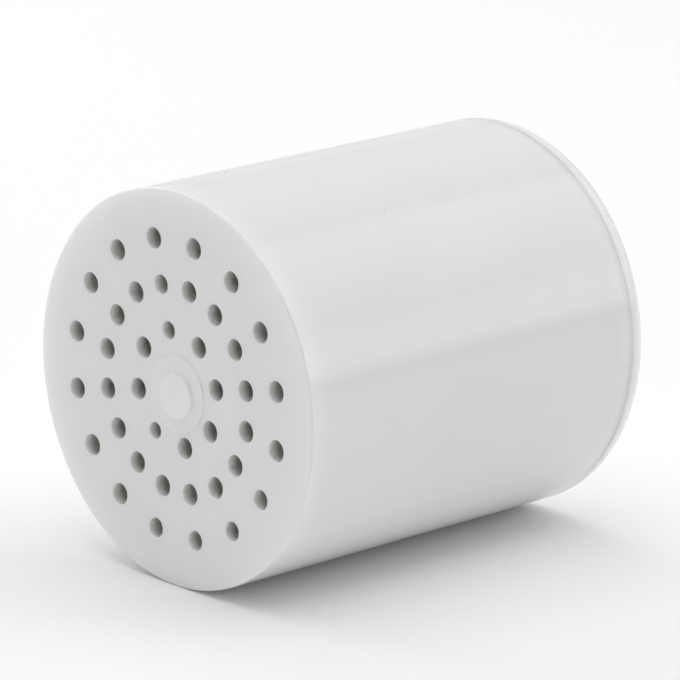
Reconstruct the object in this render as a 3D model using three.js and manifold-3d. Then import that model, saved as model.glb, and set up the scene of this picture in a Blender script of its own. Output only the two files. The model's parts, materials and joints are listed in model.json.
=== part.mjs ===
// Replacement cartridge for a shower filter: a white cup with a perforated end, a perforated lid
// that presses into its open end, and the stack of screens, felts and filter media between them.
// Millimetres, +Z up. The cartridge lies on its barrel with its perforated end facing -Y and its
// lid facing +Y, and the origin is on the surface that it lies on, under the barrel's middle.
// Each piece is made upright, with the lid's outer face at height 0, and then laid down.
import * as THREE from "three";
import { mergeVertices } from "three/addons/utils/BufferGeometryUtils.js";
import Module from "manifold-3d";

const wasm = await Module();
wasm.setup();

// Driving dimensions of the outside.
const RADIUS = 35;
const LENGTH = 80;
const WALL = 2.2;
const CLEARANCE = 0.3; // between any two neighbouring pieces
const ROLL = 11.25; // degrees that the cartridge has rolled on its barrel, seen from outside its end

// The perforated end: a flat land round the edge, and inside it a shallow cone that sinks
// towards the middle. There a flat round pad stands a little proud of the cone, its height measured
// from the cone's tip, and on the pad the mould's gate has left a boss with a dished top.
const END_WALL = 3.6;
const EDGE_CHAMFER = 0.4;
const DISH_RADIUS = 33;
const DISH_DEPTH = 1;
const PAD = { radius: 6.8, height: 0.5, y: -0.9 };
const BOSS = { radius: 4.15, height: 0.45, edge: 0.2, dish: 0.2, y: -1.1 };

// The lid: a plate with a rounded outer edge, and a spigot that plugs into the cup.
const LID_RIM = 3.7;
const LID_PLATE = 2.4;
const LID_EDGE_ROUND = 3;
const SPIGOT_TOP = 10;
const SPIGOT_WALL = 1.8;
const SPIGOT_LEAD_IN = 0.5;

// Holes: rings one pitch apart. A clock angle runs clockwise from +Y, seen from outside the end.
const HOLE_DIAMETER = 3.7;
const HOLE_PITCH = 8;
const FIRST_RING_RADIUS = 10.25;
const HOLES_PER_RING = [8, 16, 16];
// Holes that the mould has left a little narrower than the others.
const NARROW_HOLES = [
  { ring: 0, clock: 0, diameter: 3.1 },
  { ring: 0, clock: 225, diameter: 2.9 },
  { ring: 1, clock: 0, diameter: 3.3 },
  { ring: 2, clock: 135, diameter: 3.4 },
  { ring: 2, clock: 157.5, diameter: 3.4 },
  { ring: 2, clock: 180, diameter: 3.4 },
  { ring: 2, clock: 202.5, diameter: 3.4 },
];

// Sides of a full circle on the shells, the stack and the holes. A round has its flats at its
// radius and square to the axes, so the barrel rests on one of them.
const SHELL_SIDES = 64;
const STACK_SIDES = 48;
const HOLE_SIDES = 12;
const ROUND_STEPS = 4;

// The stack, from the lid up. A piece has a thickness, and a bed takes its share of the height
// that the pieces leave.
const SPIGOT_STACK = [
  { name: "inlet_screen", material: "steel_mesh", thickness: 0.5 },
  { name: "inlet_felt", material: "felt" },
];
const BARREL_STACK = [
  { name: "calcium_sulfite_bed", material: "calcium_sulfite", share: 9 },
  { name: "separator_1", material: "nonwoven", thickness: 1 },
  { name: "copper_zinc_bed", material: "copper_zinc", share: 6 },
  { name: "separator_2", material: "nonwoven", thickness: 1 },
  { name: "carbon_bed", material: "carbon", share: 9.5 },
  { name: "separator_3", material: "nonwoven", thickness: 1 },
  { name: "zeolite_bed", material: "zeolite", share: 6.5 },
  { name: "separator_4", material: "nonwoven", thickness: 1 },
  { name: "infrared_ball_bed", material: "brown_ceramic", share: 7 },
  { name: "separator_5", material: "nonwoven", thickness: 1 },
  { name: "alkaline_ball_bed", material: "pale_ceramic", share: 7 },
  { name: "separator_6", material: "nonwoven", thickness: 1 },
  { name: "tourmaline_ball_bed", material: "dark_ceramic", share: 7 },
  { name: "outlet_felt", material: "felt", thickness: 4 },
  { name: "outlet_screen", material: "steel_mesh", thickness: 0.5 },
];

const materials = {
  white_plastic: { color: 0xe4e4e2, roughness: 0.38, metalness: 0 },
  steel_mesh: { color: 0xa8a8a4, roughness: 0.35, metalness: 1 },
  felt: { color: 0xf0efea, roughness: 0.95, metalness: 0 },
  nonwoven: { color: 0xe6e4dc, roughness: 0.95, metalness: 0 },
  calcium_sulfite: { color: 0xd9d4c6, roughness: 0.85, metalness: 0 },
  copper_zinc: { color: 0xb08a3c, roughness: 0.45, metalness: 0.9 },
  carbon: { color: 0x1c1c1d, roughness: 0.8, metalness: 0 },
  zeolite: { color: 0x9aa08c, roughness: 0.9, metalness: 0 },
  brown_ceramic: { color: 0x8a4f33, roughness: 0.75, metalness: 0 },
  pale_ceramic: { color: 0xcfc6b4, roughness: 0.75, metalness: 0 },
  dark_ceramic: { color: 0x4a4644, roughness: 0.7, metalness: 0 },
};

// A solid of revolution about Z. The outline is [radius, height] points, anticlockwise in the
// plane of radius and height, and starts and ends on the axis.
function turned(outline, sides) {
  const points = outline.map(
    ([radius, height]) => new THREE.Vector2(cornerRadius(radius, sides), height),
  );
  return new THREE.LatheGeometry(points, sides, Math.PI / sides).rotateX(Math.PI / 2);
}

// An upright round bar between two heights.
function bar(radius, low, high, sides) {
  const corner = cornerRadius(radius, sides);
  const turn = Math.PI / sides;
  const cylinder = new THREE.CylinderGeometry(corner, corner, high - low, sides, 1, false, turn);
  return cylinder.rotateX(Math.PI / 2).translate(0, 0, (low + high) / 2);
}

// The radius of a polygon's corners, from that of its flats.
function cornerRadius(radius, sides) {
  return radius / Math.cos(Math.PI / sides);
}

// A geometry as a manifold-3d solid.
function solidOf(geometry) {
  const open = geometry.clone();
  open.deleteAttribute("normal");
  open.deleteAttribute("uv");
  const merged = mergeVertices(open);
  const mesh = new wasm.Mesh({
    numProp: 3,
    vertProperties: merged.getAttribute("position").array,
    triVerts: new Uint32Array(merged.index.array),
  });
  return new wasm.Manifold(mesh);
}

// A manifold-3d solid as a flat-shaded geometry.
function geometryOf(solid) {
  const { vertProperties, triVerts } = solid.getMesh();
  const geometry = new THREE.BufferGeometry();
  geometry.setAttribute("position", new THREE.BufferAttribute(vertProperties, 3));
  geometry.setIndex(new THREE.BufferAttribute(triVerts, 1));
  const flat = geometry.toNonIndexed();
  flat.computeVertexNormals();
  return flat;
}

function piece(name, material, geometry) {
  const mesh = new THREE.Mesh(geometry, new THREE.MeshStandardMaterial(materials[material]));
  mesh.name = name;
  return mesh;
}

// Points on a quarter round that is convex, from one angle to another about its centre.
function quarterRound(centre, radius, fromAngle) {
  return Array.from({ length: ROUND_STEPS + 1 }, (_, step) => {
    const angle = fromAngle + (step / ROUND_STEPS) * (Math.PI / 2);
    return [centre[0] + radius * Math.cos(angle), centre[1] + radius * Math.sin(angle)];
  });
}

// Places of the holes in one end: every ring starts on +Y.
function holePlaces() {
  return HOLES_PER_RING.flatMap((count, ring) =>
    Array.from({ length: count }, (_, index) => {
      const clock = (360 * index) / count;
      const angle = THREE.MathUtils.degToRad(90 - clock);
      const reach = FIRST_RING_RADIUS + ring * HOLE_PITCH;
      return { ring, clock, x: reach * Math.cos(angle), y: reach * Math.sin(angle) };
    }),
  );
}

function cupHoleDiameter({ ring, clock }) {
  const narrow = NARROW_HOLES.find((hole) => hole.ring === ring && hole.clock === clock);
  return narrow ? narrow.diameter : HOLE_DIAMETER;
}

function lidHoleDiameter() {
  return HOLE_DIAMETER;
}

// Drills every hole of the pattern through a solid, between two heights.
function perforated(solid, diameterOf, low, high) {
  return holePlaces().reduce((left, place) => {
    const drill = bar(diameterOf(place) / 2, low, high, HOLE_SIDES);
    return left.subtract(solidOf(drill.translate(place.x, place.y, 0)));
  }, solid);
}

// The pad and the gate's boss on it. Both reach down into the end wall.
function gateMark(root) {
  const floor = LENGTH - DISH_DEPTH + PAD.height;
  const pad = bar(PAD.radius, root, floor, STACK_SIDES).translate(0, PAD.y, 0);
  const top = floor + BOSS.height;
  const lip = BOSS.radius - BOSS.edge;
  const dish = Array.from({ length: ROUND_STEPS + 1 }, (_, step) => {
    const share = 1 - step / ROUND_STEPS;
    return [lip * share, top - BOSS.dish * (1 - share ** 2)];
  });
  const outline = [[0, root], [BOSS.radius, root], [BOSS.radius, top - BOSS.edge], ...dish];
  const boss = turned(outline, STACK_SIDES / 2).translate(0, BOSS.y, 0);
  return solidOf(pad).add(solidOf(boss));
}

function cup() {
  const inside = LENGTH - END_WALL;
  const edge = LID_RIM + CLEARANCE;
  const shell = turned(
    [
      [0, inside],
      [RADIUS - WALL, inside],
      [RADIUS - WALL, edge],
      [RADIUS, edge],
      [RADIUS, LENGTH - EDGE_CHAMFER],
      [RADIUS - EDGE_CHAMFER, LENGTH],
      [DISH_RADIUS, LENGTH],
      [0, LENGTH - DISH_DEPTH],
    ],
    SHELL_SIDES,
  );
  const body = solidOf(shell).add(gateMark(inside + END_WALL / 3));
  return geometryOf(perforated(body, cupHoleDiameter, inside - 1, LENGTH + 1));
}

function lid() {
  const spigotOuter = RADIUS - WALL - CLEARANCE;
  const spigotInner = spigotOuter - SPIGOT_WALL;
  const roundCentre = [RADIUS - LID_EDGE_ROUND, LID_EDGE_ROUND];
  const shell = turned(
    [
      [0, 0],
      ...quarterRound(roundCentre, LID_EDGE_ROUND, -Math.PI / 2),
      [RADIUS, LID_RIM],
      [spigotOuter, LID_RIM],
      [spigotOuter, SPIGOT_TOP - SPIGOT_LEAD_IN],
      [spigotOuter - SPIGOT_LEAD_IN, SPIGOT_TOP],
      [spigotInner, SPIGOT_TOP],
      [spigotInner, LID_PLATE],
      [0, LID_PLATE],
    ],
    SHELL_SIDES,
  );
  return geometryOf(perforated(solidOf(shell), lidHoleDiameter, -1, LID_PLATE + 1));
}

// What share of the free height a layer takes.
function shareOf(layer) {
  return layer.thickness ? 0 : (layer.share ?? 1);
}

// Stacks layers upwards from one height to another, a clearance apart. What has no thickness of
// its own takes its share of the rest.
function stacked(layers, radius, low, high) {
  const fixed = layers.reduce((sum, layer) => sum + (layer.thickness ?? 0), 0);
  const shares = layers.reduce((sum, layer) => sum + shareOf(layer), 0);
  const rest = high - low - fixed - CLEARANCE * (layers.length - 1);
  let bottom = low;
  return layers.map((layer) => {
    const top = bottom + (layer.thickness ?? (rest * shareOf(layer)) / shares);
    const disc = piece(layer.name, layer.material, bar(radius, bottom, top, STACK_SIDES));
    bottom = top + CLEARANCE;
    return disc;
  });
}

const boreRadius = RADIUS - WALL;
const stackRadius = boreRadius - CLEARANCE;
const spigotStackRadius = stackRadius - SPIGOT_WALL - CLEARANCE;

// Upright and rolled about its own axis.
const upright = new THREE.Group();
upright.rotation.z = THREE.MathUtils.degToRad(ROLL);
upright.add(piece("cup", "white_plastic", cup()));
upright.add(piece("lid", "white_plastic", lid()));
upright.add(...stacked(SPIGOT_STACK, spigotStackRadius, LID_PLATE + CLEARANCE, SPIGOT_TOP));
upright.add(
  ...stacked(
    BARREL_STACK,
    stackRadius,
    SPIGOT_TOP + CLEARANCE,
    LENGTH - END_WALL - CLEARANCE,
  ),
);

// Laid on its barrel: what pointed up points along -Y.
const cartridge = new THREE.Group();
cartridge.rotation.x = Math.PI / 2;
cartridge.position.set(0, LENGTH / 2, RADIUS);
cartridge.add(upright);

export default cartridge;
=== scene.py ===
"""The looks of a shower filter cartridge: its moulded cup and lid, and the filter stack in them."""

import json
import math
import random

import bmesh
import bpy
import numpy as np
from mathutils import Matrix, Quaternion, Vector
from mathutils.geometry import delaunay_2d_cdt
from mathutils.kdtree import KDTree
from mathutils.noise import noise as noise_at


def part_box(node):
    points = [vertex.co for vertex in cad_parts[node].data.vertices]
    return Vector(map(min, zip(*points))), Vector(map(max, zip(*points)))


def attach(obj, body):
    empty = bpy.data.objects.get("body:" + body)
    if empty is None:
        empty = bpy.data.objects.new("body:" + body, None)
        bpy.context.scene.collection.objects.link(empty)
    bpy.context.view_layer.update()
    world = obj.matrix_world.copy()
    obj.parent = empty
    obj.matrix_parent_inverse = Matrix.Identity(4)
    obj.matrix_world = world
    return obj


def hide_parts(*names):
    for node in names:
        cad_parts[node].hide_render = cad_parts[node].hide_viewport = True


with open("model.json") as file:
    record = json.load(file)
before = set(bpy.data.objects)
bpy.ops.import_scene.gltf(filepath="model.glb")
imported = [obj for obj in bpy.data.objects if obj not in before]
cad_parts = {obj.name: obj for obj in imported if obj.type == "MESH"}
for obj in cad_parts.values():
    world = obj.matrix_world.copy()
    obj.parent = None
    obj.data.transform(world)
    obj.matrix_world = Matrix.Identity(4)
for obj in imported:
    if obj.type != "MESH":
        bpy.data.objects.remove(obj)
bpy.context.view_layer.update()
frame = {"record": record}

# Dimensions in millimetres, in the cartridge's own upright frame: the lid's outer face is at
# height 0 and the perforated end at height 80. The hole rows start on +Y.
METRE = 1000
RADIUS = 35
LENGTH = 80
WALL = 2.2
CLEARANCE = 0.3
ROLL = 11.25  # degrees that the cartridge has rolled on its barrel

END_WALL = 3.6
END_EDGE_ROUND = 0.45
DISH_RADIUS = 33
DISH_DEPTH = 1
PAD = {"radius": 6.8, "height": 0.5, "y": -0.9}  # height above the tip of the dish's cone
PAD_SIDE = (-0.05, 0.1)  # where the pad's side starts and ends, from its radius
BOSS = {"radius": 4.15, "height": 0.45, "edge": 0.2, "dish": 0.2, "y": -1.1}

LID_RIM = 3.7
LID_PLATE = 2.4
LID_EDGE_ROUND = 3
SPIGOT_TOP = 10
SPIGOT_WALL = 1.8
SPIGOT_LEAD_IN = 0.5
SEAM_EDGE = 0.03  # radius of the two edges that meet at the seam
SEAM_OPEN = (42, 108)  # clock angles between which the lid stands off the cup by the wider gap
SEAM_FADES = (25, 2)  # degrees that the seam takes to open and to close
SEAM_GAPS = {"open": 0.13, "shut": 0.005}

HOLE_DIAMETER = 3.7
HOLE_PITCH = 8
FIRST_RING_RADIUS = 10.25
HOLES_PER_RING = (8, 16, 16)
HOLE_ROUND = 0.18
# Narrower holes in the cup's end: (ring, clock angle): diameter.
NARROW_HOLES = {
    (0, 0): 3.1,
    (0, 225): 2.9,
    (1, 0): 3.3,
    (2, 135): 3.4,
    (2, 157.5): 3.4,
    (2, 180): 3.4,
    (2, 202.5): 3.4,
}

# Fineness of the meshes.
BARREL_SIDES = 256
ROUND_STEPS = 8
CREASE = 0.1  # how far from a rounded corner a smooth face gets its first points
HOLE_SIDES = 40
HOLE_ROUND_STEPS = 5
GATE_SIDES = 96
GATE_REACH = 8  # the gate's own circles of points lie within this of the middle
PLATE_SPACING = 1.3
PLATE_MARGIN = 0.7  # between a plate's outline and the points spread over it
HOLE_MARGIN = 0.6  # between a hole's rim and those points
HOLE_SUPPORT = 0.12  # between a hole's rim and the circle of points round it
SOFT_SIDES = 128
SOFT_SPACING = 0.8

WIRE_PITCH = 1.6
WIRE_RADIUS = 0.12
WIRE_SIDES = 6
WIRE_MARGIN = 0.5  # between the outermost wires and the edge of the screen
SOFT_WAVES = ((0.16, 0.6), (0.9, 0.4))  # scale and share of a soft disc's unevenness
FELT_NAP = 0.15  # how far loose fibres stand off a felt
FIBRE_LENGTH = 4
FIBRE_RADIUS = 0.022
FIBRE_ARCH = 0.12
FIBRE_STEPS = 6

# How grains lie before they are shaken, in sizes of a grain, and how far they are shaken.
GRAIN_PITCH = 1.04
ROW_SPACING = 0.87  # in pitches
LAYER_SPACING = 0.86
LAYER_SHIFT = 0.33  # in pitches, from each layer to the next
SHAKE = 0.3

# From the upright frame to the scene: lying on its barrel, in metres.
LAY = (
    Matrix.Translation((0, LENGTH / 2 / METRE, RADIUS / METRE))
    @ Matrix.Rotation(math.radians(90), 4, "X")
    @ Matrix.Rotation(math.radians(ROLL), 4, "Z")
    @ Matrix.Scale(1 / METRE, 4)
)


# ---------------------------------------------------------------------------------------------
# Stage: camera, floor and lights


def towards(azimuth, elevation):
    """The direction from the object to a viewer or a light. Azimuth 0 is -Y and 90 is +X."""
    around, up = math.radians(azimuth), math.radians(elevation)
    return Vector(
        (
            math.sin(around) * math.cos(up),
            -math.cos(around) * math.cos(up),
            math.sin(up),
        )
    )


def add_object(name, data):
    obj = bpy.data.objects.new(name, data)
    bpy.context.scene.collection.objects.link(obj)
    return obj


# The camera: what it looks at, the direction and the distance that it stands at, its focal
# length in millimetres and its roll in degrees.
CAMERA = {
    "target": (-0.00094, -0.0005, 0.03625),
    "at": (47.13, 15.56),
    "away": 0.8833,
    "lens": 266.8,
    "roll": 0.12,
}


def add_camera():
    back = towards(*CAMERA["at"])
    data = bpy.data.cameras.new("camera")
    data.sensor_width = 36
    data.lens = CAMERA["lens"]
    data.clip_start = 0.01
    camera = add_object("camera", data)
    camera.rotation_mode = "QUATERNION"
    roll = Quaternion((0, 0, 1), math.radians(CAMERA["roll"]))
    camera.rotation_quaternion = back.to_track_quat("Z", "Y") @ roll
    camera.location = Vector(CAMERA["target"]) + back * CAMERA["away"]
    bpy.context.scene.camera = camera


# Soft boxes: the azimuth and elevation that each stands at, its distance and its sides in
# metres, and its power.
SOFT_BOXES = {
    "top": {"at": (0, 89), "away": 1.1, "size": (1.6, 1.5), "watts": 10.3},
    "back_right": {"at": (147, 31), "away": 1.3, "size": (1.2, 1.2), "watts": 4.1},
    "back_right_low": {"at": (133, 13), "away": 1.2, "size": (0.5, 0.38), "watts": 0.45},
    "back_left": {"at": (215, 33), "away": 1.3, "size": (0.79, 1.0), "watts": 0.55},
    "back_left_low": {"at": (232, 6), "away": 1.3, "size": (1.0, 0.3), "watts": 0.4},
    "front_left": {"at": (-40, 12), "away": 1.3, "size": (0.8, 0.5), "watts": 1.65},
    "left": {"at": (-95, 30), "away": 1.3, "size": (1.0, 0.8), "watts": 4.2},
}
WORLD_LIGHT = 0.25
FLOOR_GLOW = 0.017


def add_soft_box(name, at, away, size, watts):
    data = bpy.data.lights.new(name, "AREA")
    data.shape = "RECTANGLE"
    data.size, data.size_y = size
    data.energy = watts
    light = add_object(name, data)
    middle = Vector((0, 0, RADIUS / METRE))
    back = towards(*at)
    light.location = middle + back * away
    light.rotation_mode = "QUATERNION"
    light.rotation_quaternion = back.to_track_quat("Z", "Y")
    light.visible_camera = False


def add_world():
    world = bpy.data.worlds.new("studio")
    world.use_nodes = True
    background = world.node_tree.nodes["Background"]
    background.inputs["Color"].default_value = (1, 1, 1, 1)
    background.inputs["Strength"].default_value = WORLD_LIGHT
    bpy.context.scene.world = world


def add_floor():
    mesh = bpy.data.meshes.new("floor")
    bm = bmesh.new()
    bmesh.ops.create_circle(bm, cap_ends=True, segments=96, radius=4)
    bm.to_mesh(mesh)
    floor = add_object("floor", mesh)
    material, nodes, link, shader = new_material("pale_floor")
    shader.inputs["Roughness"].default_value = 0.9
    shader.inputs["Specular IOR Level"].default_value = 0.1
    shader.inputs["Emission Color"].default_value = (1, 1, 1, 1)
    shader.inputs["Emission Strength"].default_value = FLOOR_GLOW
    grain = noise(nodes, link, scale=900, detail=2)
    tint = ramp(nodes, link, grain, [(0.3, (0.93, 0.93, 0.93)), (0.7, (0.95, 0.95, 0.95))])
    link(tint, shader.inputs["Base Color"])
    mesh.materials.append(material)


# ---------------------------------------------------------------------------------------------
# Material helpers


def new_material(name):
    """A material with a Principled shader: the material, its nodes, a link call and the shader."""
    material = bpy.data.materials.new(name)
    material.use_nodes = True
    nodes = material.node_tree.nodes
    shader = nodes["Principled BSDF"]
    return material, nodes, material.node_tree.links.new, shader


def object_coordinates(nodes):
    """Coordinates in metres that stay with the piece."""
    return nodes.new("ShaderNodeTexCoord").outputs["Object"]


def noise(nodes, link, scale, detail=3, roughness=0.5):
    texture = nodes.new("ShaderNodeTexNoise")
    texture.inputs["Scale"].default_value = scale
    texture.inputs["Detail"].default_value = detail
    texture.inputs["Roughness"].default_value = roughness
    link(object_coordinates(nodes), texture.inputs["Vector"])
    return texture.outputs["Fac"]


def ramp(nodes, link, value, stops):
    """Colours (or greys) by value: stops are (position, colour)."""
    node = nodes.new("ShaderNodeValToRGB")
    elements = node.color_ramp.elements
    while len(elements) < len(stops):
        elements.new(0.5)
    for element, (position, colour) in zip(elements, stops):
        element.position = position
        element.color = (*colour, 1)
    link(value, node.inputs["Fac"])
    return node.outputs["Color"]


def spread(nodes, link, value, low, high):
    """value from 0 to 1, spread over low to high."""
    node = nodes.new("ShaderNodeMapRange")
    node.inputs["To Min"].default_value = low
    node.inputs["To Max"].default_value = high
    link(value, node.inputs["Value"])
    return node.outputs["Result"]


def fade(nodes, link, value, full, gone):
    """1 where value is at most full, and 0 where it is at least gone."""
    node = nodes.new("ShaderNodeMapRange")
    node.inputs["From Min"].default_value = gone
    node.inputs["From Max"].default_value = full
    link(value, node.inputs["Value"])
    return node.outputs["Result"]


def calculate(nodes, link, operation, *terms):
    """The result of a Math node. Each term is a number or an output."""
    node = nodes.new("ShaderNodeMath")
    node.operation = operation
    for socket, term in zip(node.inputs, terms):
        if isinstance(term, (int, float)):
            socket.default_value = term
        else:
            link(term, socket)
    return node.outputs["Value"]


def bump(nodes, link, height, distance, strength=1.0):
    node = nodes.new("ShaderNodeBump")
    node.inputs["Distance"].default_value = distance
    node.inputs["Strength"].default_value = strength
    link(height, node.inputs["Height"])
    return node.outputs["Normal"]


# ---------------------------------------------------------------------------------------------
# Materials

# Metres from the seam at which its painted highlight is still full, and at which it is gone.
SEAM_HIGHLIGHT = (0.0006, 0.004)


def white_plastic():
    """Satin moulded polypropylene: white, slightly translucent, with a fine grain and specks, and
    painted highlights on the gate's boss and along the seam.
    """
    material, nodes, link, shader = new_material("white_plastic")
    shader.inputs["IOR"].default_value = 1.49
    shader.inputs["Subsurface Weight"].default_value = 0.5
    shader.inputs["Subsurface Radius"].default_value = (1, 1, 0.95)
    shader.inputs["Subsurface Scale"].default_value = 0.005
    cloud = noise(nodes, link, scale=45, detail=4)
    tint = ramp(nodes, link, cloud, [(0.3, (0.89, 0.89, 0.87)), (0.7, (0.92, 0.92, 0.9))])
    # Painted highlights: the gate's boss and a band along the seam are painted lighter.
    highlighted = painted_highlights(nodes, link, specked(nodes, link, tint))
    link(highlighted, shader.inputs["Base Color"])
    blotch = noise(nodes, link, scale=160, detail=3)
    link(spread(nodes, link, blotch, 0.13, 0.19), shader.inputs["Roughness"])
    grain = noise(nodes, link, scale=2600, detail=2)
    link(bump(nodes, link, grain, 0.00001, 0.35), shader.inputs["Normal"])
    return material


def specked(nodes, link, tint):
    """tint with a few tiny dark specks, as unmelted pellets leave."""
    cells = nodes.new("ShaderNodeTexVoronoi")
    cells.inputs["Scale"].default_value = 260
    link(object_coordinates(nodes), cells.inputs["Vector"])
    near = ramp(
        nodes,
        link,
        cells.outputs["Distance"],
        [(0.03, (1, 1, 1)), (0.045, (0, 0, 0))],
    )
    chosen = ramp(nodes, link, cells.outputs["Color"], [(0.78, (0, 0, 0)), (0.8, (0.5, 0.5, 0.5))])
    mix = nodes.new("ShaderNodeMix")
    mix.data_type = "RGBA"
    link(calculate(nodes, link, "MULTIPLY", near, chosen), mix.inputs["Factor"])
    link(tint, mix.inputs["A"])
    mix.inputs["B"].default_value = (0.24, 0.22, 0.19, 1)
    return mix.outputs["Result"]


def painted_highlights(nodes, link, tint):
    """tint with painted highlights: lighter over the gate's boss and in a band along the seam."""
    top = LENGTH - DISH_DEPTH + PAD["height"] + BOSS["height"]
    gate = nodes.new("ShaderNodeVectorMath")
    gate.operation = "DISTANCE"
    link(object_coordinates(nodes), gate.inputs[0])
    gate.inputs[1].default_value = LAY @ Vector((0, BOSS["y"], top))
    # Painted highlight over the boss's dished top.
    lip = (BOSS["radius"] - BOSS["edge"]) / METRE
    boss_highlight = fade(nodes, link, gate.outputs["Value"], lip * 0.96, lip)

    # Painted highlight in a band that fades within a few millimetres of the seam.
    along = nodes.new("ShaderNodeSeparateXYZ")
    link(object_coordinates(nodes), along.inputs["Vector"])
    seam = (LENGTH / 2 - LID_RIM) / METRE
    off_seam = calculate(nodes, link, "SUBTRACT", along.outputs["Y"], seam)
    off_seam = calculate(nodes, link, "ABSOLUTE", off_seam)
    seam_highlight = fade(nodes, link, off_seam, *SEAM_HIGHLIGHT)

    mix = nodes.new("ShaderNodeMix")
    mix.data_type = "RGBA"
    link(calculate(nodes, link, "MAXIMUM", boss_highlight, seam_highlight), mix.inputs["Factor"])
    link(tint, mix.inputs["A"])
    mix.inputs["B"].default_value = (0.98, 0.98, 0.965, 1)
    return mix.outputs["Result"]


def steel_wire():
    """Drawn stainless wire, a little dulled."""
    material, nodes, link, shader = new_material("steel_wire")
    shader.inputs["Metallic"].default_value = 1
    cloud = noise(nodes, link, scale=700, detail=3)
    tint = ramp(nodes, link, cloud, [(0.3, (0.5, 0.5, 0.49)), (0.7, (0.66, 0.66, 0.64))])
    link(tint, shader.inputs["Base Color"])
    link(spread(nodes, link, cloud, 0.22, 0.42), shader.inputs["Roughness"])
    drawn = noise(nodes, link, scale=6000, detail=2)
    link(bump(nodes, link, drawn, 0.00002, 0.4), shader.inputs["Normal"])
    return material


def fibrous(name, dark, light):
    """A white fabric of tangled fibres."""
    material, nodes, link, shader = new_material(name)
    shader.inputs["Roughness"].default_value = 0.95
    shader.inputs["Sheen Weight"].default_value = 0.25
    shader.inputs["Sheen Roughness"].default_value = 0.5
    tangle = nodes.new("ShaderNodeTexNoise")
    tangle.inputs["Scale"].default_value = 1400
    tangle.inputs["Detail"].default_value = 6
    tangle.inputs["Distortion"].default_value = 2.5
    link(object_coordinates(nodes), tangle.inputs["Vector"])
    tint = ramp(nodes, link, tangle.outputs["Fac"], [(0.3, dark), (0.65, light)])
    link(tint, shader.inputs["Base Color"])
    link(bump(nodes, link, tangle.outputs["Fac"], 0.0003, 0.8), shader.inputs["Normal"])
    return material


def grain_material(name, shades, surface, roughness, metallic=0.0):
    """Grains that each have a shade of their own between the shades, mottled by a noise whose
    scale is surface."""
    material, nodes, link, shader = new_material(name)
    shader.inputs["Metallic"].default_value = metallic
    each = nodes.new("ShaderNodeNewGeometry").outputs["Random Per Island"]
    stops = [(index / (len(shades) - 1), shade) for index, shade in enumerate(shades)]
    mottle = noise(nodes, link, scale=surface, detail=4)
    mix = nodes.new("ShaderNodeMix")
    mix.data_type = "RGBA"
    mix.blend_type = "MULTIPLY"
    mix.inputs["Factor"].default_value = 1
    link(ramp(nodes, link, each, stops), mix.inputs["A"])
    grey = [(0.3, (0.78, 0.78, 0.78)), (0.7, (1, 1, 1))]
    link(ramp(nodes, link, mottle, grey), mix.inputs["B"])
    link(mix.outputs["Result"], shader.inputs["Base Color"])
    low, high = roughness
    link(spread(nodes, link, mottle, low, high), shader.inputs["Roughness"])
    link(bump(nodes, link, mottle, 0.0001, 0.6), shader.inputs["Normal"])
    return material


def media_materials():
    """A material for each filter medium, by the record's slot."""
    return {
        "calcium_sulfite": grain_material(
            "calcium_sulfite_beads",
            [(0.66, 0.6, 0.49), (0.76, 0.72, 0.63), (0.82, 0.79, 0.72)],
            surface=1500,
            roughness=(0.8, 0.95),
        ),
        "copper_zinc": grain_material(
            "copper_zinc_granules",
            [(0.42, 0.24, 0.09), (0.62, 0.43, 0.16), (0.72, 0.55, 0.26)],
            surface=4000,
            roughness=(0.3, 0.5),
            metallic=0.9,
        ),
        "carbon": grain_material(
            "carbon_granules",
            [(0.012, 0.012, 0.013), (0.022, 0.022, 0.023), (0.04, 0.04, 0.041)],
            surface=3000,
            roughness=(0.45, 0.8),
        ),
        "zeolite": grain_material(
            "zeolite_granules",
            [(0.26, 0.28, 0.2), (0.38, 0.4, 0.3), (0.5, 0.51, 0.42)],
            surface=2500,
            roughness=(0.8, 0.95),
        ),
        "brown_ceramic": grain_material(
            "infrared_balls",
            [(0.24, 0.09, 0.045), (0.31, 0.13, 0.065), (0.38, 0.17, 0.09)],
            surface=1600,
            roughness=(0.65, 0.85),
        ),
        "pale_ceramic": grain_material(
            "alkaline_balls",
            [(0.55, 0.48, 0.38), (0.63, 0.57, 0.47), (0.7, 0.66, 0.57)],
            surface=1600,
            roughness=(0.65, 0.85),
        ),
        "dark_ceramic": grain_material(
            "tourmaline_balls",
            [(0.05, 0.045, 0.042), (0.08, 0.07, 0.065), (0.12, 0.11, 0.1)],
            surface=1600,
            roughness=(0.6, 0.8),
        ),
    }


# ---------------------------------------------------------------------------------------------
# Mesh helpers, in the upright frame and millimetres


def circle(radius, sides, height=None, centre=(0, 0)):
    """Points of a circle, anticlockwise from +X, flat or at a height."""
    turn = 2 * math.pi / sides
    points = [
        (centre[0] + radius * math.cos(turn * i), centre[1] + radius * math.sin(turn * i))
        for i in range(sides)
    ]
    return points if height is None else [(x, y, height) for x, y in points]


def bridge(bm, lower, upper):
    """Quads between two rings of as many points each. They face outwards if the rings run
    anticlockwise seen from the upper one."""
    count = len(lower)
    low = [bm.verts.new(point) for point in lower]
    high = [bm.verts.new(point) for point in upper]
    for i in range(count):
        j = (i + 1) % count
        bm.faces.new((low[i], low[j], high[j], high[i]))


def revolve(bm, outline, sides=BARREL_SIDES):
    """An open surface of revolution through [radius, height] points."""
    for (r0, h0), (r1, h1) in zip(outline, outline[1:]):
        bridge(bm, circle(r0, sides, h0), circle(r1, sides, h1))


def quarter_round(centre, radius, start, steps=ROUND_STEPS):
    """[radius, height] points on an anticlockwise quarter circle from an angle in degrees."""
    angles = [math.radians(start + 90 * step / steps) for step in range(steps + 1)]
    return [(centre[0] + radius * math.cos(a), centre[1] + radius * math.sin(a)) for a in angles]


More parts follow.
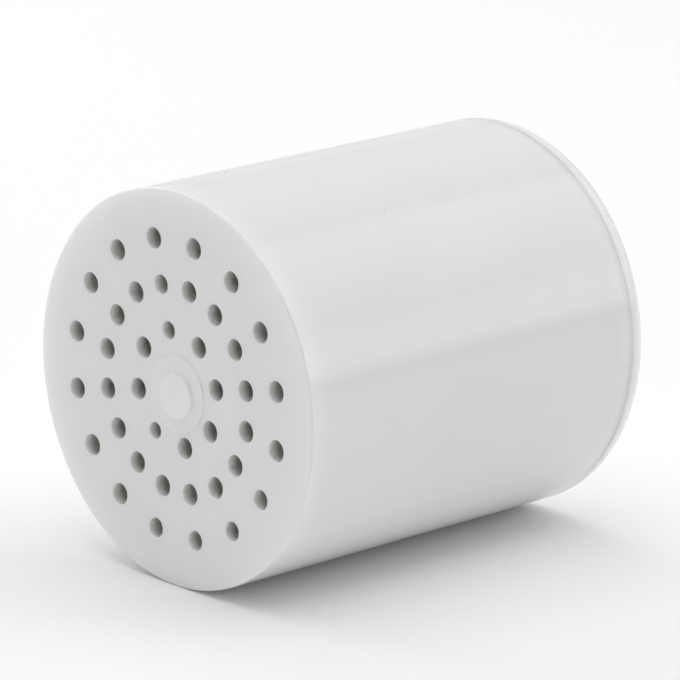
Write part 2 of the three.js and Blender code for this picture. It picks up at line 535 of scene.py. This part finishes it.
def mesh_of_shell(name, bm):
    """A closed mesh: shared points joined and every face turned outwards."""
    bmesh.ops.remove_doubles(bm, verts=bm.verts, dist=1e-3)
    bmesh.ops.recalc_face_normals(bm, faces=bm.faces)
    mesh = bpy.data.meshes.new(name)
    bm.to_mesh(mesh)
    bm.free()
    return mesh


def mesh_of_parts(name, points, faces):
    mesh = bpy.data.meshes.new(name)
    mesh.from_pydata(points, [], faces)
    return mesh


def add_piece(mesh, node, material, smooth=True):
    """A visible piece for a CAD node from an upright mesh: laid down, and riding on its body."""
    mesh.transform(LAY)
    if smooth:
        mesh.shade_smooth()
    mesh.materials.append(material)
    piece = add_object(mesh.name, mesh)
    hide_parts(node)
    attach(piece, body_with(node))
    return piece


def body_with(node):
    bodies = frame["record"]["behaviour"]["bodies"]
    return next(body for body, nodes in bodies.items() if node in nodes)


# ---------------------------------------------------------------------------------------------
# Perforated plates


def hole_places():
    """(ring, clock angle, x, y) of every hole. A clock angle runs clockwise from +Y."""
    places = []
    for ring, count in enumerate(HOLES_PER_RING):
        reach = FIRST_RING_RADIUS + ring * HOLE_PITCH
        for index in range(count):
            clock = 360 * index / count
            angle = math.radians(90 - clock)
            places.append((ring, clock, reach * math.cos(angle), reach * math.sin(angle)))
    return places


def cup_holes():
    """(x, y, radius) of the cup's holes."""
    return [
        (x, y, NARROW_HOLES.get((ring, clock), HOLE_DIAMETER) / 2)
        for ring, clock, x, y in hole_places()
    ]


def lid_holes():
    """(x, y, radius) of the lid's holes."""
    return [(x, y, HOLE_DIAMETER / 2) for _, _, x, y in hole_places()]


def plate_spots(radius, holes, margin, clear):
    """Points spread evenly over a disc, clear of its outline, of its holes and of a circle of a
    radius (clear) round its middle."""
    spots = []
    row = PLATE_SPACING * math.sqrt(0.75)
    for j in range(-int(radius / row), int(radius / row) + 1):
        for i in range(-int(radius / PLATE_SPACING) - 1, int(radius / PLATE_SPACING) + 2):
            x, y = (i + 0.5 * (j % 2)) * PLATE_SPACING, j * row
            if clear < math.hypot(x, y) < radius - PLATE_MARGIN:
                spots.append((x, y))
    return [
        (x, y)
        for x, y in spots
        if all(math.hypot(x - a, y - b) > r + margin for a, b, r in holes)
    ]


def gate_rings():
    """(radius, y) of circles of points on the boss and its pad, close together at their steps."""
    boss_step = np.linspace(BOSS["radius"] - 0.7, BOSS["radius"] + 0.21, 14)
    pad_step = np.linspace(PAD["radius"] - 0.2, PAD["radius"] + 0.2, 9)
    boss = [*np.arange(0.4, 3.4, 0.4), *boss_step, 4.7, 5.2, 5.7]
    pad = [6.3, *pad_step, 7.2, 7.5]
    return [(r, BOSS["y"]) for r in boss] + [(r, PAD["y"]) for r in pad]


def plate(bm, radius, holes, rim, height, rings=(), clear=0):
    """A disc with round holes in it, that many millimetres wider than the drill (rim), whose
    points lie at height(x, y). rings are (radius, y) of circles of points of their own, and
    nothing but rings comes closer to the middle than clear."""
    loops = [circle(radius, BARREL_SIDES)]
    loops += [circle(r + rim, HOLE_SIDES, centre=(x, y)) for x, y, r in holes]
    for r, y in rings:
        sides = BARREL_SIDES if r > GATE_REACH else GATE_SIDES
        loops.append(circle(r, sides, centre=(0, y)))
    points, edges = [], []
    for loop in loops:
        first = len(points)
        points += loop
        edges += [(first + i, first + (i + 1) % len(loop)) for i in range(len(loop))]
    for x, y, r in holes:
        points += circle(r + rim + HOLE_SUPPORT, HOLE_SIDES, centre=(x, y))
    points += plate_spots(radius, holes, rim + HOLE_MARGIN, clear)
    made = delaunay_2d_cdt([Vector(p) for p in points], edges, [], 0, 1e-5)
    corners, triangles = made[0], made[2]
    verts = [bm.verts.new((p.x, p.y, height(p.x, p.y))) for p in corners]
    for triangle in triangles:
        middle = sum((corners[i] for i in triangle), Vector((0, 0))) / 3
        inside = [math.hypot(middle.x - x, middle.y - y) < r + rim - 1e-4 for x, y, r in holes]
        if not any(inside):
            bm.faces.new([verts[i] for i in triangle])


def hole_walls(bm, holes, outer, inner, out):
    """The walls of the holes, from a rounded rim at outer(x, y) to a sharp one at a height,
    inner. out is 1 if the rounded rim is the upper one, and -1 if it is the lower one."""
    for x, y, r in holes:
        turn = [90 * step / HOLE_ROUND_STEPS for step in range(HOLE_ROUND_STEPS + 1)]
        for a, b in zip(turn, turn[1:]):
            bridge(bm, *[rim_ring(x, y, r, outer, out, angle) for angle in (a, b)])
        lowest = rim_ring(x, y, r, outer, out, 90)
        bridge(bm, lowest, circle(r, HOLE_SIDES, inner, centre=(x, y)))


def rim_ring(x, y, radius, outer, out, angle):
    """One ring of a hole's rounded rim: at 0 degrees on the plate, at 90 on the hole's wall."""
    over = HOLE_ROUND * (1 - math.sin(math.radians(angle)))
    drop = HOLE_ROUND * (1 - math.cos(math.radians(angle)))
    ring = circle(radius + over, HOLE_SIDES, centre=(x, y))
    return [(a, b, outer(a, b) - out * drop) for a, b in ring]


def smooth_step(low, high, value):
    t = min(max((value - low) / (high - low), 0), 1)
    return t * t * (3 - 2 * t)


def cup_end_height(x, y):
    """The perforated end's outer surface: flat land, shallow cone, and the gate's pad and boss."""
    cone = LENGTH - DISH_DEPTH * max(0, 1 - math.hypot(x, y) / DISH_RADIUS)
    pad = LENGTH - DISH_DEPTH + PAD["height"]
    from_pad = math.hypot(x, y - PAD["y"])
    start, end = PAD_SIDE
    off_pad = smooth_step(PAD["radius"] + start, PAD["radius"] + end, from_pad)
    return cone * off_pad + pad * (1 - off_pad) + boss_height(math.hypot(x, y - BOSS["y"]))


def boss_height(reach):
    """How far the boss stands above its pad, at a distance from its middle."""
    lip = BOSS["radius"] - BOSS["edge"]
    if reach < lip:
        return BOSS["height"] - BOSS["dish"] * (1 - (reach / lip) ** 2)
    return BOSS["height"] * (1 - smooth_step(lip, BOSS["radius"], reach))


# ---------------------------------------------------------------------------------------------
# The moulded shells


def cup_shell(material):
    bm = bmesh.new()
    inside = LENGTH - END_WALL
    bore = RADIUS - WALL
    land = RADIUS - END_EDGE_ROUND
    edge = LID_RIM + CLEARANCE
    holes = cup_holes()
    rings = [(DISH_RADIUS, 0), *gate_rings()]
    plate(bm, land, holes, HOLE_ROUND, cup_end_height, rings, clear=GATE_REACH)
    plate(bm, bore, holes, 0, lambda x, y: inside)
    hole_walls(bm, holes, cup_end_height, inside, 1)
    corner = quarter_round((land, LENGTH - END_EDGE_ROUND), END_EDGE_ROUND, 0)
    lip = quarter_round((RADIUS - SEAM_EDGE, edge + SEAM_EDGE), SEAM_EDGE, -90, steps=4)
    ends = [(RADIUS, lip[-1][1] + CREASE), (RADIUS, corner[0][1] - CREASE)]
    revolve(bm, [(bore, inside), (bore, edge), *lip, *ends, *corner])
    return add_piece(mesh_of_shell("cup_shell", bm), "cup", material)


def lid_shell(material):
    bm = bmesh.new()
    spigot = RADIUS - WALL - CLEARANCE
    inner = spigot - SPIGOT_WALL
    holes = lid_holes()
    plate(bm, RADIUS - LID_EDGE_ROUND, holes, HOLE_ROUND, lambda x, y: 0)
    plate(bm, inner, holes, 0, lambda x, y: LID_PLATE)
    hole_walls(bm, holes, lambda x, y: 0, LID_PLATE, -1)
    edge = quarter_round((RADIUS - LID_EDGE_ROUND, LID_EDGE_ROUND), LID_EDGE_ROUND, -90)
    rim = quarter_round((RADIUS - SEAM_EDGE, LID_RIM - SEAM_EDGE), SEAM_EDGE, 0, steps=4)
    tip = [
        (spigot, SPIGOT_TOP - SPIGOT_LEAD_IN),
        (spigot - SPIGOT_LEAD_IN, SPIGOT_TOP),
        (inner, SPIGOT_TOP),
    ]
    brink = [(RADIUS, rim[0][1] - CREASE), *rim, (spigot, LID_RIM)]
    revolve(bm, [*edge, *brink, *tip, (inner, LID_PLATE)])
    close_seam(bm, spigot)
    return add_piece(mesh_of_shell("lid_shell", bm), "lid", material)


def close_seam(bm, spigot):
    """Raises the lid's rim until it almost meets the cup, except where the seam stands open."""
    start, end = SEAM_OPEN
    opening, closing = SEAM_FADES
    shut, ajar = SEAM_GAPS["shut"], SEAM_GAPS["open"]
    for vert in bm.verts:
        x, y, height = vert.co
        on_rim = LID_RIM - 2 * SEAM_EDGE < height < LID_RIM + SEAM_EDGE
        if not on_rim or math.hypot(x, y) < spigot - 1e-3:
            continue
        clock = math.degrees(math.atan2(x, y))
        share = smooth_step(start, start + opening, clock)
        share *= 1 - smooth_step(end - closing, end, clock)
        vert.co.z += CLEARANCE - shut - (ajar - shut) * share


# ---------------------------------------------------------------------------------------------
# Woven wire screens


def woven_screen(radius, low, high):
    """Points and faces of a plain-woven wire disc that fills the heights between low and high."""
    middle = (low + high) / 2
    wires = int((radius - WIRE_MARGIN) / WIRE_PITCH)
    points, faces = [], []
    for index in range(-wires, wires + 1):
        off = index * WIRE_PITCH
        half = math.sqrt((radius - WIRE_RADIUS) ** 2 - off**2)
        # Neighbouring wires wave in opposite phase, and so do the two directions.
        phase = 1 if index % 2 else -1
        add_wire(points, faces, Vector((-half, off, middle)), Vector((half, off, middle)), phase)
        add_wire(points, faces, Vector((off, -half, middle)), Vector((off, half, middle)), -phase)
    return points, faces


def add_wire(points, faces, start, end, phase):
    """One round wire with flat ends that waves over and under what it crosses."""
    along = (end - start).normalized()
    across = along.cross(Vector((0, 0, 1)))
    steps = math.ceil((end - start).length / (WIRE_PITCH / 4))
    rings = []
    for step in range(steps + 1):
        point = start.lerp(end, step / steps)
        wave = phase * math.cos(math.pi * point.dot(along) / WIRE_PITCH)
        rings.append(point + Vector((0, 0, wave * WIRE_RADIUS)))
    add_tube(points, faces, rings, across, [WIRE_RADIUS] * len(rings), WIRE_SIDES)


def add_tube(points, faces, middles, across, radii, sides):
    """A closed tube along some points. across is a direction square to all of it."""
    first = len(points)
    for index, (middle, radius) in enumerate(zip(middles, radii)):
        before, after = middles[max(index - 1, 0)], middles[min(index + 1, len(middles) - 1)]
        over = across.cross(after - before).normalized()
        for side in range(sides):
            angle = 2 * math.pi * side / sides
            points.append(middle + (across * math.cos(angle) + over * math.sin(angle)) * radius)
    for ring in range(len(middles) - 1):
        a, b = first + ring * sides, first + (ring + 1) * sides
        for side in range(sides):
            after = (side + 1) % sides
            faces.append((a + side, b + side, b + after, a + after))
    faces.append(tuple(range(first, first + sides)))
    last = first + (len(middles) - 1) * sides
    faces.append(tuple(reversed(range(last, last + sides))))


# ---------------------------------------------------------------------------------------------
# Felts and non-woven separators


def soft_disc(radius, low, high, edge, lump, seed):
    """Points and faces of a soft disc: cut edges rounded by edge, faces uneven by up to lump."""
    middle, half = (low + high) / 2, (high - low) / 2 - lump
    reaches = np.arange(SOFT_SPACING, radius - edge - lump, SOFT_SPACING)
    turns = [math.radians(angle) for angle in range(0, 91, 15)]
    profile = [(reach, half) for reach in reaches]
    cut = radius - edge - lump
    profile += [(cut + edge * math.sin(t), half - edge * (1 - math.cos(t))) for t in turns]
    profile += [(reach, -height) for reach, height in reversed(profile)]
    shift = Vector((seed * 31.7, seed * 17.3, 0))
    points = []
    for reach, height in profile:
        for x, y in circle(reach, SOFT_SIDES):
            place = Vector((x, y, middle + height))
            wave = sum(noise_at(place * scale + shift) * share for scale, share in SOFT_WAVES)
            out = Vector((0, 0, 1 if height > 0 else -1))
            points.append(place + out * (lump * wave))
    top, bottom = len(points), len(points) + 1
    points += [Vector((0, 0, middle + half)), Vector((0, 0, middle - half))]
    faces = []
    rings = len(profile)
    for ring in range(rings - 1):
        a, b = ring * SOFT_SIDES, (ring + 1) * SOFT_SIDES
        for side in range(SOFT_SIDES):
            after = (side + 1) % SOFT_SIDES
            faces.append((a + side, b + side, b + after, a + after))
    last = (rings - 1) * SOFT_SIDES
    for side in range(SOFT_SIDES):
        after = (side + 1) % SOFT_SIDES
        faces.append((top, side, after))
        faces.append((bottom, last + after, last + side))
    return points, faces


def add_fibres(points, faces, radius, low, high, count, seed):
    """Loose curly fibres on both faces of a soft disc."""
    rng = random.Random(seed)
    for index in range(count):
        face, out = (high, -1) if index % 2 else (low, 1)
        reach = (radius - FIBRE_LENGTH) * math.sqrt(rng.random())
        angle, heading = rng.uniform(0, 2 * math.pi), rng.uniform(0, 2 * math.pi)
        place = Vector((reach * math.cos(angle), reach * math.sin(angle), face))
        curl = rng.uniform(-1.2, 1.2)
        middles = []
        for step in range(FIBRE_STEPS + 1):
            share = step / FIBRE_STEPS
            turn = heading + curl * share
            lift = FIBRE_ARCH * (1 - math.sin(math.pi * share)) + FIBRE_RADIUS
            middles.append(place + Vector((0, 0, out * lift)))
            stride = rng.uniform(0.6, 1) * FIBRE_LENGTH / FIBRE_STEPS
            place = place + Vector((math.cos(turn), math.sin(turn), 0)) * stride
        add_tube(points, faces, middles, Vector((0, 0, 1)), [FIBRE_RADIUS] * len(middles), 3)


# ---------------------------------------------------------------------------------------------
# Beds of beads, balls and granules


def shaken(size, radius, low, high, seed, rounds):
    """Centres of grains of a size that lie close together in a disc-shaped space: layers of a
    loose lattice, shaken up and then pushed apart where they overlap."""
    rng = np.random.default_rng(seed)
    pitch = size * GRAIN_PITCH
    layers = max(int((high - low - size) / (size * LAYER_SPACING)) + 1, 1)
    heights = np.linspace(low + size / 2, high - size / 2, layers)
    reach = radius - size / 2
    count = int(reach / pitch) + 2
    centres = []
    for layer, height in enumerate(heights):
        shift = LAYER_SHIFT * layer
        for j in range(-2 * count, 2 * count):
            for i in range(-2 * count, 2 * count):
                x, y = (i + 0.5 * (j % 2) + shift) * pitch, (j + shift) * pitch * ROW_SPACING
                centres.append((x, y, height))
    centres = np.array(centres)
    centres = centres[np.hypot(centres[:, 0], centres[:, 1]) < reach]
    centres += rng.uniform(-SHAKE, SHAKE, centres.shape) * size
    for _ in range(rounds):
        centres += 0.5 * pushes(centres, size)
        across = np.hypot(centres[:, 0], centres[:, 1])
        centres[:, :2] *= np.minimum(1, reach / np.maximum(across, 1e-9))[:, None]
        centres[:, 2] = np.clip(centres[:, 2], low + size / 2, high - size / 2)
    return centres


def pushes(centres, size):
    """How far each grain is pushed by the grains that overlap it."""
    tree = KDTree(len(centres))
    for index, centre in enumerate(centres):
        tree.insert(centre, index)
    tree.balance()
    moves = np.zeros_like(centres)
    for index, centre in enumerate(centres):
        for near, other, distance in tree.find_range(centre, size):
            if other != index and distance > 0:
                moves[index] += (centre - np.array(near)) * (size - distance) / distance
    return moves


def grains(centres, size, smoothness, roughness, seed):
    """Points and faces of one grain at each centre: an icosphere of a smoothness, from 1 for a
    broken granule up, its corners moved by a roughness and the whole turned at random."""
    rng = np.random.default_rng(seed)
    bm = bmesh.new()
    bmesh.ops.create_icosphere(bm, subdivisions=smoothness, radius=size / 2)
    corners = np.array([vert.co for vert in bm.verts])
    template = np.array([[vert.index for vert in face.verts] for face in bm.faces])
    bm.free()
    points, faces = [], []
    for index, centre in enumerate(centres):
        turn = Quaternion(rng.normal(size=4)).normalized().to_matrix()
        uneven = 1 - roughness * rng.random((len(corners), 1))
        points.append((corners * uneven) @ np.array(turn) + centre)
        faces.append(template + index * len(corners))
    return np.concatenate(points).tolist(), np.concatenate(faces).tolist()


# ---------------------------------------------------------------------------------------------
# The stack in the cup


def space_of(node):
    """Radius and heights of the disc-shaped space that a CAD node fills, in the upright frame."""
    low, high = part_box(node)
    radius = METRE * min(high.x - low.x, high.z - low.z) / 2
    return round(radius, 1), LENGTH / 2 - METRE * high.y, LENGTH / 2 - METRE * low.y


def screen(node, material):
    mesh = mesh_of_parts(node + "_weave", *woven_screen(*space_of(node)))
    return add_piece(mesh, node, material)


def felt_pad(node, material, seed):
    radius, low, high = space_of(node)
    nap = FELT_NAP
    points, faces = soft_disc(radius, low + nap, high - nap, edge=0.9, lump=0.2, seed=seed)
    add_fibres(points, faces, radius, low, high, count=2400, seed=seed)
    pad = add_piece(mesh_of_parts(node + "_pad", points, faces), node, material)
    return pad


def separator(node, material, seed):
    radius, low, high = space_of(node)
    points, faces = soft_disc(radius, low, high, edge=0.3, lump=0.12, seed=seed)
    disc = add_piece(mesh_of_parts(node + "_disc", points, faces), node, material)
    return disc


def bed(node, slot, material, size, smoothness, unevenness, rounds, seed):
    radius, low, high = space_of(node)
    centres = shaken(size, radius, low, high, seed, rounds)
    parts = grains(centres, size, smoothness, unevenness, seed)
    mesh = mesh_of_parts(node + "_grains", *parts)
    return add_piece(mesh, node, material, smooth=smoothness > 1)


# What fills each bed: the grain's size in millimetres and its shape.
BEDS = {
    "calcium_sulfite_bed": {"size": 3, "smoothness": 2, "unevenness": 0.03, "rounds": 25},
    "copper_zinc_bed": {"size": 1.5, "smoothness": 1, "unevenness": 0.45, "rounds": 4},
    "carbon_bed": {"size": 2, "smoothness": 1, "unevenness": 0.5, "rounds": 4},
    "zeolite_bed": {"size": 2.6, "smoothness": 1, "unevenness": 0.5, "rounds": 6},
    "infrared_ball_bed": {"size": 4, "smoothness": 3, "unevenness": 0.0, "rounds": 25},
    "alkaline_ball_bed": {"size": 4, "smoothness": 3, "unevenness": 0.0, "rounds": 25},
    "tourmaline_ball_bed": {"size": 4, "smoothness": 3, "unevenness": 0.0, "rounds": 25},
}

# ---------------------------------------------------------------------------------------------
# Build


def build():
    add_camera()
    add_world()
    add_floor()
    for name, box in SOFT_BOXES.items():
        add_soft_box(name, **box)
    bpy.context.scene.view_settings.view_transform = "Standard"

    plastic = white_plastic()
    cup_shell(plastic)
    lid_shell(plastic)

    steel = steel_wire()
    felt = fibrous("felt", (0.72, 0.71, 0.67), (0.88, 0.87, 0.83))
    nonwoven = fibrous("nonwoven", (0.7, 0.69, 0.64), (0.84, 0.83, 0.78))
    media = media_materials()
    slots = {row["node"]: row["material_slot"] for row in frame["record"]["subparts"]}

    for node in ("inlet_screen", "outlet_screen"):
        screen(node, steel)
    for seed, node in enumerate(("inlet_felt", "outlet_felt")):
        felt_pad(node, felt, seed)
    for seed, (node, grain) in enumerate(BEDS.items()):
        bed(node, slots[node], media[slots[node]], seed=seed, **grain)
    for index, below in enumerate(list(BEDS)[:-1], start=1):
        separator(f"separator_{index}", nonwoven, seed=index + 2)


build()
